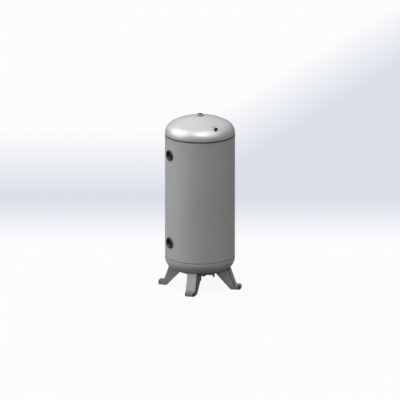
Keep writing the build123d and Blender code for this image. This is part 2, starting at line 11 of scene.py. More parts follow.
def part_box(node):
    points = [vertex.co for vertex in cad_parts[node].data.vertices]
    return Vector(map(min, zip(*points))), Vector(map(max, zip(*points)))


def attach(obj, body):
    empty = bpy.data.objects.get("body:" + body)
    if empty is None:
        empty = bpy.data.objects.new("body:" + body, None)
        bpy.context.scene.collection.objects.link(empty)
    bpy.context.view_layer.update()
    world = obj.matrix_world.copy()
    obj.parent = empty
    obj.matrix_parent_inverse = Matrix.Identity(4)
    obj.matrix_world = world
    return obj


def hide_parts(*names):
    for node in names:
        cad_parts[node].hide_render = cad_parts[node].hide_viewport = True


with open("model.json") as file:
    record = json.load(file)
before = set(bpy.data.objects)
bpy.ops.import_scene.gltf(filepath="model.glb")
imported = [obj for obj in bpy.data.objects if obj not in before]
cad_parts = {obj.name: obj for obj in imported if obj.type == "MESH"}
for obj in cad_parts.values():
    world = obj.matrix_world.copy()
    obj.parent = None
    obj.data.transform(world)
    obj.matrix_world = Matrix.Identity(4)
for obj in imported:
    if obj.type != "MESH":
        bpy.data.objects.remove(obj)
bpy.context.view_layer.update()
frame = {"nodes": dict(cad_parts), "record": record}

# ---------------------------------------------------------------- sizes from the frame (metres)
MM = 0.001
shell_low, shell_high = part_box("shell")
SHELL_RADIUS = (shell_high.y - shell_low.y) / 2
MOUNTS = {mount["name"]: mount for mount in frame["record"]["mounts"]}
VESSEL = "vessel"

THREAD_PITCH = {  # NPT pipe threads, by coupling
    "upper_side": 25.4 * MM / 11.5,
    "lower_side": 25.4 * MM / 11.5,
    "top_outlet": 25.4 * MM / 11.5,
    "gauge": 25.4 * MM / 14,
    "drain": 25.4 * MM / 18,
}


# ================================================================ mesh helpers
def make_object(name, points, faces, materials, face_slots=None, smooth=True):
    """Mesh object from point and face lists, shaded smooth."""
    mesh = bpy.data.meshes.new(name)
    mesh.from_pydata([tuple(p) for p in points], [], faces)
    for material in materials:
        mesh.materials.append(material)
    if face_slots is not None:
        mesh.polygons.foreach_set("material_index", face_slots)
    mesh.polygons.foreach_set("use_smooth", [smooth] * len(mesh.polygons))
    mesh.validate()
    mesh.update()
    piece = bpy.data.objects.new(name, mesh)
    bpy.context.scene.collection.objects.link(piece)
    return piece


def grid_faces(rows, columns, wrap_rows, wrap_columns):
    """Quads of a rows by columns grid of points, row by row."""
    faces = []
    for r in range(rows if wrap_rows else rows - 1):
        below = r * columns
        above = ((r + 1) % rows) * columns
        for c in range(columns if wrap_columns else columns - 1):
            d = (c + 1) % columns
            faces.append((below + c, below + d, above + d, above + c))
    return faces


def end_caps(rows, columns):
    """Polygons that close the two ends of a tube of rows by columns points."""
    first = tuple(range(columns))[::-1]
    last = tuple((rows - 1) * columns + c for c in range(columns))
    return [first, last]


def basis(axis):
    """Two unit vectors square to an axis and to each other, and the axis, right-handed."""
    axis = np.array(axis, float)
    axis /= np.linalg.norm(axis)
    helper = np.array((0.0, 0.0, 1.0)) if abs(axis[2]) < 0.9 else np.array((1.0, 0.0, 0.0))
    u = np.cross(helper, axis)
    u /= np.linalg.norm(u)
    return u, np.cross(axis, u), axis


def unit(vectors):
    """Rows of an array scaled to length 1."""
    return vectors / np.linalg.norm(vectors, axis=-1, keepdims=True)


def node_tree(node):
    """Ray-casting tree of a CAD node's mesh."""
    mesh = frame["nodes"][node].data
    return BVHTree.FromPolygons(
        [v.co.copy() for v in mesh.vertices], [tuple(p.vertices) for p in mesh.polygons]
    )


def merge_close(piece):
    """Join points that coincide, such as the pole of a turned shape, and fix the normals."""
    mesh = bmesh.new()
    mesh.from_mesh(piece.data)
    bmesh.ops.remove_doubles(mesh, verts=mesh.verts, dist=0.001 * MM)
    bmesh.ops.dissolve_degenerate(mesh, edges=mesh.edges, dist=0.001 * MM)
    bmesh.ops.recalc_face_normals(mesh, faces=mesh.faces)
    mesh.to_mesh(piece.data)
    mesh.free()


# ================================================================ materials
class Shader:
    """Small helper that adds nodes to a material and links them."""

    def __init__(self, name):
        self.material = bpy.data.materials.new(name)
        self.material.use_nodes = True
        self.nodes = self.material.node_tree.nodes
        self.links = self.material.node_tree.links
        self.surface = self.nodes["Principled BSDF"]
        geometry = self.nodes.new("ShaderNodeNewGeometry")
        self.position = geometry.outputs["Position"]
        self.normal = geometry.outputs["Normal"]

    def set(self, **values):
        """Set or link inputs of the surface shader, with _ for each space in a name."""
        for key, value in values.items():
            self.feed(self.surface, key.replace("_", " "), value)

    def feed(self, node, socket, value):
        """Link a value into a node's input, or set it as a constant."""
        target = node.inputs[socket]
        if isinstance(value, bpy.types.NodeSocket):
            self.links.new(value, target)
        else:
            target.default_value = value

    def noise(self, scale, detail=3.0, roughness=0.5, stretch=(1.0, 1.0, 1.0), offset=0.0):
        """Noise in space, with scale in features per metre."""
        mapping = self.nodes.new("ShaderNodeMapping")
        mapping.inputs["Scale"].default_value = stretch
        mapping.inputs["Location"].default_value = (offset, offset, offset)
        self.links.new(self.position, mapping.inputs["Vector"])
        texture = self.nodes.new("ShaderNodeTexNoise")
        texture.inputs["Scale"].default_value = scale
        texture.inputs["Detail"].default_value = detail
        texture.inputs["Roughness"].default_value = roughness
        self.links.new(mapping.outputs["Vector"], texture.inputs["Vector"])
        return texture.outputs["Fac"]

    def remap(self, value, low, high, out_low=0.0, out_high=1.0):
        """Value moved from the range low to high into the range out_low to out_high, clamped."""
        node = self.nodes.new("ShaderNodeMapRange")
        node.inputs["From Min"].default_value = low
        node.inputs["From Max"].default_value = high
        node.inputs["To Min"].default_value = out_low
        node.inputs["To Max"].default_value = out_high
        self.links.new(value, node.inputs["Value"])
        return node.outputs["Result"]

    def math(self, operation, a, b=0.0):
        """Result of a maths node on two sockets or numbers."""
        node = self.nodes.new("ShaderNodeMath")
        node.operation = operation
        self.feed(node, 0, a)
        self.feed(node, 1, b)
        return node.outputs[0]

    def mix(self, factor, a, b):
        """Colour between a and b, where factor 0 gives a and 1 gives b."""
        node = self.nodes.new("ShaderNodeMix")
        node.data_type = "RGBA"
        self.feed(node, "Factor", factor)
        for socket, value in (("A", a), ("B", b)):
            target = [s for s in node.inputs if s.name == socket and s.type == "RGBA"][0]
            if isinstance(value, bpy.types.NodeSocket):
                self.links.new(value, target)
            else:
                target.default_value = (*value, 1.0)
        return [s for s in node.outputs if s.type == "RGBA"][0]

    def split(self, vector):
        """The x, y and z of a vector."""
        node = self.nodes.new("ShaderNodeSeparateXYZ")
        self.links.new(vector, node.inputs[0])
        return node.outputs["X"], node.outputs["Y"], node.outputs["Z"]

    def height(self):
        """Height of the shaded point above the floor."""
        return self.split(self.position)[2]

    def leg_normal(self):
        """The normal's outward, sideways and upward parts, for legs that stand on the diagonals."""
        x, y, _ = self.split(self.position)
        normal_x, normal_y, normal_z = self.split(self.normal)
        from_x = self.math("MULTIPLY", normal_x, self.math("SIGN", x))
        from_y = self.math("MULTIPLY", normal_y, self.math("SIGN", y))
        outward = self.math("MULTIPLY", self.math("ADD", from_x, from_y), math.sqrt(0.5))
        sideways = self.math("MULTIPLY", self.math("SUBTRACT", from_x, from_y), math.sqrt(0.5))
        return outward, sideways, normal_z

    def turned_edges(self, lean):
        """1 where a leg's skin turns from one of its flat faces to the next, 0 on the faces."""
        outward, sideways, upward = self.leg_normal()
        web = self.math(
            "ADD",
            self.math("MULTIPLY", outward, math.cos(math.radians(lean))),
            self.math("MULTIPLY", upward, math.sin(math.radians(lean))),
        )
        nearest = self.math("ABSOLUTE", web)
        for part in (outward, sideways, upward):
            nearest = self.math("MAXIMUM", nearest, self.math("ABSOLUTE", part))
        return self.remap(nearest, 0.985, 0.92)

    def along(self, axis):
        """Distance of the shaded point along a direction, from the origin."""
        node = self.nodes.new("ShaderNodeVectorMath")
        node.operation = "DOT_PRODUCT"
        self.links.new(self.position, node.inputs[0])
        node.inputs[1].default_value = axis
        return node.outputs["Value"]

    def crevice(self, distance, low, high):
        """1 in corners and under ledges, 0 in the open."""
        node = self.nodes.new("ShaderNodeAmbientOcclusion")
        node.inputs["Distance"].default_value = distance
        node.samples = 8
        return self.remap(node.outputs["AO"], high, low)

    def bump(self, value, strength, distance, below=None):
        """Normal tilted by a height value, on top of an earlier normal if one is given."""
        node = self.nodes.new("ShaderNodeBump")
        node.inputs["Strength"].default_value = strength
        node.inputs["Distance"].default_value = distance
        self.links.new(value, node.inputs["Height"])
        if below is not None:
            self.links.new(below, node.inputs["Normal"])
        return node.outputs["Normal"]


SCUFF_COLOUR = (0.10, 0.095, 0.09)
# dirt near the floor; the same colour serves as painted shade on the tops of the feet
DIRT_AND_SHADE_COLOUR = (0.085, 0.082, 0.078)
# colour of the painted shade in corners and seams
CREVICE_SHADE_COLOUR = (0.07, 0.068, 0.065)
WORN_COLOUR = (0.018, 0.018, 0.019)
SETTLED_DIRT_AND_SHADE = 0.9  # how much dirt and painted shade darken the tops of the feet
WORN_EDGE = 0.85  # how far the paint is gone along the legs' bends


def paint_material(name, colour, worn_height, leg_lean=None, gloss=1.0):
    """Satin enamel: orange peel, faint uneven tone, dirt and scuffs near the floor, and painted shade
    in corners.

    With leg_lean, the paint is also worn dark along the bends of legs that lean by that angle, and
    the tops of the feet are darkened with dirt and painted shade.
    """
    s = Shader(name)
    broad = s.noise(2.2, detail=4)
    streaks = s.noise(9.0, detail=3, stretch=(1.0, 1.0, 0.12), offset=3.0)
    specks = s.noise(900.0, detail=2)
    light = [c * 1.06 for c in colour]
    dark = [c * 0.94 for c in colour]
    tone = s.mix(s.remap(broad, 0.35, 0.65), dark, light)
    tone = s.mix(s.remap(streaks, 0.55, 0.8, 0.0, 0.10), tone, [c * 0.8 for c in colour])
    tone = s.mix(s.remap(specks, 0.62, 0.75, 0.0, 0.12), tone, [c * 1.25 for c in colour])
    scuff_noise = s.noise(55.0, detail=6, roughness=0.65)
    low_down = s.remap(s.height(), worn_height, 0.0)
    scuffs = s.remap(s.math("ADD", scuff_noise, s.math("MULTIPLY", low_down, 0.16)), 0.70, 0.76)
    scuffs = s.math("MULTIPLY", scuffs, s.remap(s.height(), worn_height, worn_height * 0.6))
    tone = s.mix(s.math("MULTIPLY", scuffs, 0.7), tone, SCUFF_COLOUR)
    splash = s.math("ADD", s.height(), s.math("MULTIPLY", s.noise(30.0, detail=4), -0.02))
    tone = s.mix(s.remap(splash, worn_height, 0.0, 0.0, 0.6), tone, DIRT_AND_SHADE_COLOUR)
    # painted shade: the paint is darkened where ambient occlusion finds corners and seams
    crevice_shade = s.crevice(12 * MM, 0.25, 0.7)
    tone = s.mix(s.math("MULTIPLY", crevice_shade, 0.35), tone, CREVICE_SHADE_COLOUR)
    s.set(Coat_Weight=gloss, Specular_IOR_Level=0.9 * gloss)
    if leg_lean is not None:
        # the up-facing tops of the feet are darkened: dirt and painted shade
        settled_dirt_and_shade = s.math("MULTIPLY", s.remap(s.split(s.normal)[2], 0.5, 0.9), low_down)
        tone = s.mix(s.math("MULTIPLY", settled_dirt_and_shade, SETTLED_DIRT_AND_SHADE), tone, DIRT_AND_SHADE_COLOUR)
        ragged = s.math("MULTIPLY", s.noise(150.0, detail=6, roughness=0.7, offset=5.0), 1.2)
        worn = s.remap(s.math("ADD", s.turned_edges(leg_lean), ragged), 1.25, 1.45)
        tone = s.mix(s.math("MULTIPLY", worn, WORN_EDGE), tone, WORN_COLOUR)
        kept = s.math("SUBTRACT", 1.0, worn)
        coat = s.math("MULTIPLY", kept, gloss)
        s.set(Coat_Weight=coat, Specular_IOR_Level=s.math("MULTIPLY", coat, 0.9))
    peel = s.noise(260.0, detail=1)
    ripple = s.noise(38.0, detail=2)
    normal = s.bump(ripple, 0.08, 0.6 * MM)
    normal = s.bump(peel, 0.05, 0.25 * MM, normal)
    rough = s.remap(s.noise(14.0, detail=5), 0.3, 0.7, 0.34, 0.42)
    rough = s.math("ADD", rough, s.math("MULTIPLY", scuffs, 0.3))
    s.set(Base_Color=tone, Roughness=rough, Normal=normal, Coat_Roughness=0.30)
    return s.material


def dark_steel_material(name, colour, roughness, shine=0.25):
    """Forged steel under cutting oil: dark, blotchy and faintly pitted; its near black copies are
    painted shade in bores and on the top outlet's face.
    """
    s = Shader(name)
    blotches = s.noise(60.0, detail=5, roughness=0.6)
    tone = s.mix(s.remap(blotches, 0.35, 0.7), [c * 0.7 for c in colour], [c * 1.5 for c in colour])
    rust = s.remap(s.noise(180.0, detail=4, offset=7.0), 0.62, 0.74, 0.0, 0.35)
    tone = s.mix(rust, tone, (0.060, 0.030, 0.016))
    pits = s.noise(700.0, detail=3)
    s.set(
        Base_Color=tone,
        Specular_IOR_Level=shine,
        Roughness=s.remap(blotches, 0.3, 0.7, roughness - 0.08, roughness + 0.12),
        Normal=s.bump(pits, 0.25, 0.15 * MM),
    )
    return s.material


def weld_material(name, colour, metallic, sheen):
    """Weld metal, bare or painted over, with a soft sheen on the ripples."""
    s = Shader(name)
    patches = s.noise(45.0, detail=4)
    tone = s.mix(s.remap(patches, 0.35, 0.7), [c * 0.75 for c in colour], [c * 1.3 for c in colour])
    # painted shade: the weld is darkened in its crevices
    crevice_shade = s.crevice(4 * MM, 0.3, 0.8)
    tone = s.mix(s.math("MULTIPLY", crevice_shade, 0.5), tone, (0.02, 0.02, 0.02))
    grain = s.noise(1400.0, detail=2)
    s.set(
        Base_Color=tone,
        Metallic=metallic,
        Roughness=s.remap(patches, 0.3, 0.7, sheen, sheen + 0.17),
        Normal=s.bump(grain, 0.2, 0.08 * MM),
    )
    return s.material


def cast_brass_material(name, colour):
    """Forged brass: tarnish in the corners and a fine grain."""
    s = Shader(name)
    cloud = s.noise(160.0, detail=4)
    tone = s.mix(s.remap(cloud, 0.35, 0.7), [c * 0.85 for c in colour], colour)
    tarnish = s.crevice(3 * MM, 0.25, 0.85)
    tone = s.mix(s.math("MULTIPLY", tarnish, 0.6), tone, (0.18, 0.11, 0.05))
    grain = s.noise(2500.0, detail=2)
    s.set(
        Base_Color=tone,
        Metallic=1.0,
        Roughness=s.remap(cloud, 0.3, 0.7, 0.26, 0.42),
        Normal=s.bump(grain, 0.25, 0.05 * MM),
    )
    return s.material


def bright_metal_material(name, colour, roughness, stretch, marks):
    """Metal with fine drawn lines; stretch squeezes the lines along one axis."""
    s = Shader(name)
    lines = s.noise(600.0, detail=3, stretch=stretch)
    cloud = s.noise(90.0, detail=3, offset=2.0)
    tone = s.mix(s.remap(lines, 0.3, 0.7), [c * (1 - marks) for c in colour], colour)
    tone = s.mix(s.remap(cloud, 0.55, 0.8, 0.0, 0.3), tone, [c * 0.75 for c in colour])
    s.set(
        Base_Color=tone,
        Metallic=1.0,
        Roughness=s.remap(lines, 0.3, 0.7, roughness * 0.8, roughness * 1.3),
        Normal=s.bump(lines, 0.05, 0.03 * MM),
    )
    return s.material


def polymer_material(name, colour):
    """Turned polymer ring: matte, with faint tool lines."""
    s = Shader(name)
    cloud = s.noise(300.0, detail=3)
    tone = s.mix(s.remap(cloud, 0.3, 0.7), [c * 0.93 for c in colour], colour)
    s.set(
        Base_Color=tone,
        Roughness=s.remap(cloud, 0.3, 0.7, 0.45, 0.6),
        Normal=s.bump(s.noise(1800.0, detail=2), 0.15, 0.04 * MM),
    )
    return s.material


PAINT_GREY = (0.335, 0.338, 0.342)
paint = paint_material("vessel_paint", PAINT_GREY, worn_height=0.045)
# the vessel's paint at half its brightness: painted shade on the legs
SHADED_LEG_GREY = tuple(0.50 * c for c in PAINT_GREY)
LEG_LEAN = 19.9  # degrees that the outer face of a leg leans from the vertical
shaded_leg_paint = paint_material("shaded_leg_paint", SHADED_LEG_GREY, worn_height=0.045, leg_lean=LEG_LEAN)
# the vessel's paint darkened: painted shade on the gauge and drain couplings
SHADED_PORT_GREY = tuple(0.62 * c for c in PAINT_GREY)
shaded_port_paint = paint_material("shaded_port_paint", SHADED_PORT_GREY, worn_height=0.045, gloss=0.25)
# the vessel's paint lightened: painted light on the top outlet's coupling
LIT_OUTLET_GREY = tuple(1.15 * c for c in PAINT_GREY)
lit_outlet_paint = paint_material("lit_outlet_paint", LIT_OUTLET_GREY, worn_height=0.045, gloss=0.25)
bare_steel = dark_steel_material("port_steel", (0.020, 0.020, 0.021), 0.5)
thread_steel = dark_steel_material("side_port_thread", (0.050, 0.050, 0.052), 0.5)
# near black steel: painted shade inside the gauge and drain bores
painted_shade_bore = dark_steel_material("thread_painted_shade", (0.006, 0.006, 0.006), 0.62)
# near black steel without shine: painted shade on the top outlet's face and bore
outlet_painted_shade = dark_steel_material("outlet_face_painted_shade", (0.004, 0.004, 0.004), 0.8, shine=0.0)
weld_metal = weld_material("weld_bead", (0.058, 0.058, 0.060), 0.15, 0.38)
paint_weld = weld_material("painted_weld", (0.29, 0.292, 0.296), 0.0, 0.34)
# darker than the painted weld: painted shade on the legs' beads
shaded_leg_weld_paint = weld_material("shaded_leg_weld_paint", (0.11, 0.111, 0.113), 0.0, 0.36)
brass = cast_brass_material("valve_brass", (0.74, 0.54, 0.26))
chrome = bright_metal_material("polished_steel", (0.82, 0.82, 0.83), 0.12, (1.0, 1.0, 1.0), 0.03)
zinc = bright_metal_material("handle_steel", (0.62, 0.60, 0.54), 0.34, (1.0, 0.08, 1.0), 0.12)
aluminium = bright_metal_material("plate_aluminium", (0.80, 0.80, 0.81), 0.32, (1.0, 0.04, 1.0), 0.10)
etched = bright_metal_material("plate_etched", (0.10, 0.10, 0.105), 0.45, (1.0, 0.04, 1.0), 0.10)
polymer = polymer_material("seat_polymer", (0.86, 0.86, 0.83))

for node, piece in frame["nodes"].items():
    if node in ("ball", "stem"):
        finish = chrome
    elif node in ("handle", "handle_nut"):
        finish = zinc
    elif node in ("valve_body", "valve_end"):
        finish = brass
    elif node in ("upper_seat_ring", "lower_seat_ring", "stem_packing"):
        finish = polymer
    elif node in ("data_plate", "plate_rivets"):
        finish = aluminium
    elif node.endswith("_weld"):
        finish = weld_metal
    elif node.startswith("leg_"):
        finish = shaded_leg_paint
    else:
        finish = paint
    piece.data.materials.clear()
    piece.data.materials.append(finish)


# ================================================================ threaded couplings
SLEEVE_SEGMENTS = 144
POINTS_PER_TURN = 8
MOUTH_LEAD = 1.5 * MM  # chamfer at the mouth of the thread
RIM_ROUND = 1.2 * MM
RIM_STEPS = 6
THREAD_DEPTH = 0.76  # of the pitch
RUNOUT_TURNS = 2  # over which the thread fades at its inner end
BORE_TAPER = 0.3 / 32  # radius per length, less than a pipe's 1 in 32 to stay near the CAD's bore


def thread_profile(phase):
    """0 at a crest and 1 at a root, for a 60 degree thread with small flats."""
    wave = 1 - np.abs(2 * (phase % 1.0) - 1)
    return np.clip((wave - 0.08) / 0.84, 0, 1)


def threaded_sleeve(name, face_centre, axis, outer_radius, bore_radius, length, pitch, materials):
    """Half coupling as a closed ring with a helical pipe thread cut into its bore.

    face_centre is on the outer face and axis points out of the mouth. materials are the
    finishes of the outside, of the flat face and of the bore.
    """
    u, v, w = basis(axis)
    steps = int(length / pitch * POINTS_PER_TURN)
    depth_of_thread = THREAD_DEPTH * pitch
    outside = [(outer_radius, length), (outer_radius, length * 0.5)]
    for k in range(RIM_STEPS + 1):
        angle = math.radians(90 * k / RIM_STEPS)
        outside.append(
            (
                outer_radius - RIM_ROUND + RIM_ROUND * math.cos(angle),
                RIM_ROUND - RIM_ROUND * math.sin(angle),
            )
        )
    mouth_radius = bore_radius + MOUTH_LEAD + 0.2 * MM
    outside.append((mouth_radius + 0.4 * (outer_radius - mouth_radius), 0.0))
    outside.append((mouth_radius, 0.0))
    inside = np.linspace(MOUTH_LEAD, length, steps)
    theta = np.linspace(0, 2 * math.pi, SLEEVE_SEGMENTS, endpoint=False)
    rows = []
    for radius, s in outside:
        rows.append(np.stack([np.full_like(theta, radius), np.full_like(theta, s)], axis=1))
    for s in inside:
        crest = bore_radius + (length - s) * BORE_TAPER
        runout = min(1.0, (length - s) / (RUNOUT_TURNS * pitch))
        fade = runout * min(1.0, (s - MOUTH_LEAD) / pitch + 0.35)
        root = thread_profile(s / pitch + theta / (2 * math.pi)) * depth_of_thread * fade
        rows.append(np.stack([crest + root, np.full_like(theta, s)], axis=1))
    points = []
    for row in rows:
        radial = np.outer(np.cos(theta), u) + np.outer(np.sin(theta), v)
        points.append(np.array(face_centre) + radial * row[:, :1] - w * row[:, 1:])
    points = np.concatenate(points)
    faces = grid_faces(len(rows), SLEEVE_SEGMENTS, True, True)
    slots = []
    first_inside = len(outside) - 1  # the row of the mouth's edge, where the bore's finish starts
    first_face = first_inside - 2  # the last row of the rim, where the flat face starts
    for r in range(len(rows)):
        slots += [int(r >= first_face) + int(r >= first_inside)] * SLEEVE_SEGMENTS
    return make_object(name, points, faces, materials, slots)


def port_place(port, node):
    """Face centre, outward axis, outer radius and length of a coupling, from its CAD box."""
    low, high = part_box(node)
    centre = (low + high) / 2
    axis = {
        "upper_side": (-1, 0, 0),
        "lower_side": (-1, 0, 0),
        "top_outlet": (0, 0, 1),
        "gauge": (0, -1, 0),
        "drain": (0, 0, -1),
    }[port]
    axis = Vector(axis)
    size = high - low
    length = abs(size.dot(axis))
    across = [size[i] for i in range(3) if abs(axis[i]) < 0.5]
    return centre + axis * (length / 2), axis, min(across) / 2, length


BORE_RADIUS = {
    "upper_side": MOUNTS["upper_side_port"]["dims"]["r_mm"] * MM,
    "lower_side": MOUNTS["lower_side_port"]["dims"]["r_mm"] * MM,
    "top_outlet": MOUNTS["top_port"]["dims"]["r_mm"] * MM,
    "gauge": MOUNTS["gauge_port"]["dims"]["r_mm"] * MM,
    "drain": MOUNTS["drain_outlet"]["dims"]["r_mm"] * MM,
}
SLEEVE_FINISH = {  # outside, face, bore
    "upper_side": (bare_steel, bare_steel, thread_steel),
    "lower_side": (bare_steel, bare_steel, thread_steel),
    "top_outlet": (lit_outlet_paint, outlet_painted_shade, outlet_painted_shade),
    "gauge": (shaded_port_paint, bare_steel, painted_shade_bore),
    "drain": (shaded_port_paint, bare_steel, painted_shade_bore),
}
for port, pitch in THREAD_PITCH.items():
    node = port + "_coupling"
    face, axis, outer_radius, length = port_place(port, node)
    sleeve = threaded_sleeve(
        port + "_threaded_coupling",
        face,
        axis,
        outer_radius,
        BORE_RADIUS[port],
        length,
        pitch,
        SLEEVE_FINISH[port],
    )
    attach(sleeve, VESSEL)
    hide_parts(node)

# ================================================================ weld beads
BEAD_COLUMNS = 11
RIPPLE_SPACING = 2.6 * MM
STEPS_PER_RIPPLE = 6
CRESCENT = 0.42  # how far the middle of a ripple runs ahead of its ends, in ripples
WIDTH_WANDER = 0.10  # uneven width of a bead, as a part of its width
SIDE_SWAY = 0.06  # the same for its sideways sway
CROWN_WANDER = 0.15
ROOT_DEPTH = 0.4 * MM  # how far a bead's underside lies below its path


def bead(name, path, closed, toe_a, toe_b, bulge, ripple, materials, seed):
    """Weld bead along a path, with the crescent ripples a moving arc leaves.

    toe_a and toe_b reach from each path point to the bead's two edges; bulge is how far
    the middle stands above the line between them, and ripple the height of a crescent.
    """
    path = np.array(path, float)
    toe_a = np.array(toe_a, float)
    toe_b = np.array(toe_b, float)
    ends = np.roll(path, -1, axis=0) if closed else np.vstack([path[1:], path[-1:]])
    gaps = np.linalg.norm(ends - path, axis=1)
    along = np.concatenate([[0.0], np.cumsum(gaps)[:-1]])
    total = gaps.sum()
    turns = max(1, round(total / RIPPLE_SPACING))
    phase = along / total * turns
    out = unit(toe_a + toe_b + 1e-12)
    count = len(path)
    wander = np.array(
        [noise.noise(Vector((p[0] * 60 + seed, p[1] * 60, p[2] * 60))) for p in path]
    )
    sway = np.array(
        [noise.noise(Vector((p[0] * 25, p[1] * 25 + seed, p[2] * 25))) for p in path]
    )
    rows = []
    for i in range(count):
        width = 1 + WIDTH_WANDER * wander[i]
        a = toe_a[i] * (width + SIDE_SWAY * sway[i])
        b = toe_b[i] * (width - SIDE_SWAY * sway[i])
        row = []
        for c in range(BEAD_COLUMNS):
            x = -1 + 2 * c / (BEAD_COLUMNS - 1)
            crown = 1 - x * x
            crest = (phase[i] + CRESCENT * crown) % 1.0
            wave = crest * crest
            lift = bulge * crown * (1 + CROWN_WANDER * wander[i]) + ripple * wave * crown**0.6
            row.append(path[i] + a * (1 - x) / 2 + b * (1 + x) / 2 + out[i] * lift)
        row.append(path[i] - out[i] * ROOT_DEPTH)
        rows.append(row)
    columns = BEAD_COLUMNS + 1
    faces = grid_faces(count, columns, closed, True)
    if not closed:
        faces += end_caps(count, columns)
    points = np.array(rows).reshape(-1, 3)
    piece = make_object(name, points, faces, materials)
    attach(piece, VESSEL)
    return piece


def ring_steps(circumference):
    """Number of path points around a ring, for the ripple spacing."""
    return int(circumference / RIPPLE_SPACING) * STEPS_PER_RIPPLE


TOE_RISE = 0.4 * MM  # of a girth bead's two edges above the middle of its underside
LONG_BEAD_HALF_WIDTH = 4.2 * MM


def girth_bead(name, node, wash, depth, crown, seed):
    """Butt bead in the groove between the shell and a head.

    wash is how far the bead's cap runs down past the groove, and depth how far the bead's
    two edges lie below the shell's surface.
    """
    low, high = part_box(node)
    bottom = low.z - wash
    height = (bottom + high.z) / 2
    half = (high.z - bottom) / 2
    groove_radius = SHELL_RADIUS - depth - TOE_RISE
    count = ring_steps(2 * math.pi * groove_radius)
    theta = np.linspace(0, 2 * math.pi, count, endpoint=False)
    radial = np.stack([np.cos(theta), np.sin(theta), np.zeros(count)], axis=1)
    path = radial * groove_radius + np.array((0, 0, height))
    toe_a = radial * TOE_RISE + np.array((0, 0, half))
    toe_b = radial * TOE_RISE - np.array((0, 0, half))
    piece = bead(name, path, True, toe_a, toe_b, crown, 0.35 * MM, [weld_metal], seed)
    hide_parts(node)


girth_bead(
    "top_girth_bead", "top_girth_weld", wash=4.0 * MM, depth=0.3 * MM, crown=1.2 * MM, seed=11.0
)
girth_bead(
    "bottom_girth_bead", "bottom_girth_weld", wash=0.0, depth=1.2 * MM, crown=1.2 * MM, seed=23.0
)


def long_seam_bead():
    """Straight butt bead down the rolled shell, on the side away from the ports."""
    low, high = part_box("long_seam_weld")
    middle = (low + high) / 2
    angle = math.atan2(middle.y, middle.x)
    radial = np.array((math.cos(angle), math.sin(angle), 0.0))
    across = np.array((-math.sin(angle), math.cos(angle), 0.0))
    count = int((high.z - low.z) / RIPPLE_SPACING) * STEPS_PER_RIPPLE
    heights = np.linspace(low.z, high.z, count)
    path = radial * (SHELL_RADIUS - 0.3 * MM) + np.outer(heights, (0, 0, 1))
    side = across * LONG_BEAD_HALF_WIDTH
    toe_a = np.tile(side + radial * 0.2 * MM, (count, 1))
    toe_b = np.tile(-side + radial * 0.2 * MM, (count, 1))
    piece = bead("long_seam_bead", path, False, toe_a, toe_b, 1.1 * MM, 0.3 * MM, [paint_weld], 5.0)
    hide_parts("long_seam_weld")


long_seam_bead()


CAST_FROM = 0.05  # metres outside a coupling's face where the rays start
ROOT_GAP = 0.6 * MM  # from a coupling's side to the ray, so that the ray misses the coupling


def port_bead(port, host, leg, seed, materials):
    """Fillet bead around a coupling, laid on the host's surface found by casting rays."""
    face, axis, outer_radius, _ = port_place(port, port + "_coupling")
    u, v, w = basis(axis)
    tree = node_tree(host)
    count = ring_steps(2 * math.pi * outer_radius * 1.2)
    path, toe_a, toe_b = [], [], []
    for theta in np.linspace(0, 2 * math.pi, count, endpoint=False):
        radial = u * math.cos(theta) + v * math.sin(theta)
        start = np.array(face) + radial * (outer_radius + ROOT_GAP) + w * CAST_FROM
        hit, normal, _, _ = tree.ray_cast(Vector(start), -Vector(w))
        normal = np.array(normal)
        foot = np.array(hit) - radial * ROOT_GAP
        outward = radial - normal * radial.dot(normal)
        outward /= np.linalg.norm(outward)
        path.append(foot)
        toe_a.append(outward * leg)
        toe_b.append(w * leg)
    piece = bead(
        port + "_bead", path, True, toe_a, toe_b, 0.6 * MM, 0.3 * MM, materials, seed
    )
    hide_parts(port + "_weld")


port_bead("upper_side", "shell", 4.5 * MM, 31.0, [weld_metal])
port_bead("lower_side", "shell", 4.5 * MM, 37.0, [weld_metal])
port_bead("top_outlet", "top_head", 4.0 * MM, 41.0, [weld_metal])
port_bead("gauge", "top_head", 3.5 * MM, 43.0, [paint_weld])
port_bead("drain", "bottom_head", 3.5 * MM, 47.0, [paint_weld])

ROOT_TOLERANCE = 0.2 * MM
LEG_BEAD_LEG = 5.0 * MM
LEG_BEAD_BULGE = 0.7 * MM


def weld_root(leg, leg_tree, host_tree):
    """Ordered points where a leg's outer skin meets the head: the root line of its weld."""
    low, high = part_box(leg)
    centre = (low + high) / 2
    outward = unit(np.array((centre.x, centre.y, 0.0)))
    across = np.array((-outward[1], outward[0], 0.0))
    root = []
    for vertex in frame["nodes"][leg + "_weld"].data.vertices:
        on_leg = leg_tree.find_nearest(vertex.co)[3] < ROOT_TOLERANCE
        on_host = host_tree.find_nearest(vertex.co)[3] < ROOT_TOLERANCE
        if on_leg and on_host:
            root.append(np.array(vertex.co))
    root = np.array(root)
    reach = root @ outward
    side = root @ across
    order = np.argsort(np.arctan2(side, reach - reach.min() + 1 * MM))
    root = root[order]
    apart = np.linalg.norm(np.diff(root, axis=0), axis=1) > ROOT_TOLERANCE
    return root[np.concatenate([[True], apart])]


def even_steps(points, spacing):
    """Points at even steps along a line of points."""
    gaps = np.linalg.norm(np.diff(points, axis=0), axis=1)
    along = np.concatenate([[0.0], np.cumsum(gaps)])
    wanted = np.linspace(0, along[-1], int(along[-1] / spacing))
    return np.stack([np.interp(wanted, along, points[:, i]) for i in range(3)], axis=1)


def smoothed(rows, width):
    """Running average down the rows of an array, the ends held."""
    padded = np.pad(rows, ((width // 2, width // 2), (0, 0)), "edge")
    window = np.ones(width) / width
    columns = [np.convolve(padded[:, i], window, "valid") for i in range(rows.shape[1])]
    return np.stack(columns, axis=1)


